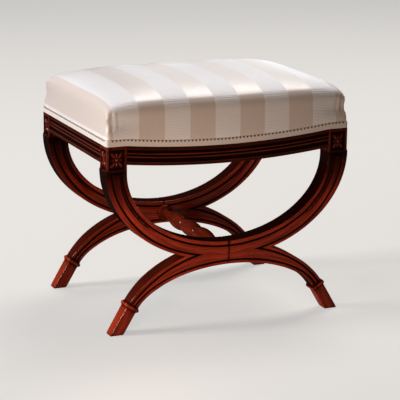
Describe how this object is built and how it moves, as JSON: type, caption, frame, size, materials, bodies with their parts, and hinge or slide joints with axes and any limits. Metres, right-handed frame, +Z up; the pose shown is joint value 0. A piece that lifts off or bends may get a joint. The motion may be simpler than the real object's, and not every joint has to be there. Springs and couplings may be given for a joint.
{
  "type": "upholstered x-frame stool",
  "caption": "Low upholstered stool: domed striped seat on curved, crossing mahogany frames joined by a turned stretcher.",
  "frame": {"origin": "on the floor, under the middle of the seat: the bottom centre of the bounding box", "axes": "+X to the sitter's right along the front, +Y from the front frame to the back frame along the stretcher, +Z up"},
  "size_m": [0.5652, 0.4102, 0.524],
  "materials": {
    "polished_mahogany": "gloss varnish",
    "carved_mahogany": "gloss varnish, darkened in the hollows",
    "pale_beech": "planed, unfinished",
    "steel_screw": "plain",
    "striped_satin": "satin and ribbed stripes",
    "cream_gimp": "woven braid with small metal nails",
    "jute_webbing": "coarse weave",
    "hessian_cloth": "open plain weave",
    "stuffing": "curled hair in a linen skin",
    "black_cambric": "plain weave"
  },
  "bodies": {
    "root": {"frame_front_right": "polished_mahogany", "foot_collar_front_right": "polished_mahogany", "rosette_face_front_right": "carved_mahogany", "rosette_end_front_right": "carved_mahogany", "corner_brace_front_right": "pale_beech", "brace_screw_lower_front_right": "steel_screw", "brace_screw_upper_front_right": "steel_screw", "frame_front_left": "polished_mahogany", "foot_collar_front_left": "polished_mahogany", "rosette_face_front_left": "carved_mahogany", "rosette_end_front_left": "carved_mahogany", "corner_brace_front_left": "pale_beech", "brace_screw_lower_front_left": "steel_screw", "brace_screw_upper_front_left": "steel_screw", "frame_back_right": "polished_mahogany", "foot_collar_back_right": "polished_mahogany", "rosette_face_back_right": "carved_mahogany", "rosette_end_back_right": "carved_mahogany", "corner_brace_back_right": "pale_beech", "brace_screw_lower_back_right": "steel_screw", "brace_screw_upper_back_right": "steel_screw", "frame_back_left": "polished_mahogany", "foot_collar_back_left": "polished_mahogany", "rosette_face_back_left": "carved_mahogany", "rosette_end_back_left": "carved_mahogany", "corner_brace_back_left": "pale_beech", "brace_screw_lower_back_left": "steel_screw", "brace_screw_upper_back_left": "steel_screw", "rail_front": "polished_mahogany", "rail_back": "polished_mahogany", "rail_right": "polished_mahogany", "rail_left": "polished_mahogany", "stretcher": "polished_mahogany", "waist_dowel_front_lower": "pale_beech", "waist_dowel_back_lower": "pale_beech", "waist_dowel_front_upper": "pale_beech", "waist_dowel_back_upper": "pale_beech", "web_lengthways_1": "jute_webbing", "web_lengthways_2": "jute_webbing", "web_lengthways_3": "jute_webbing", "web_crossways_1": "jute_webbing", "web_crossways_2": "jute_webbing", "web_crossways_3": "jute_webbing", "web_crossways_4": "jute_webbing", "hessian": "hessian_cloth", "seat_stuffing": "stuffing", "seat_cover": "striped_satin", "gimp_and_nails": "cream_gimp", "bottom_cloth": "black_cambric"}
  },
  "joints": []
}
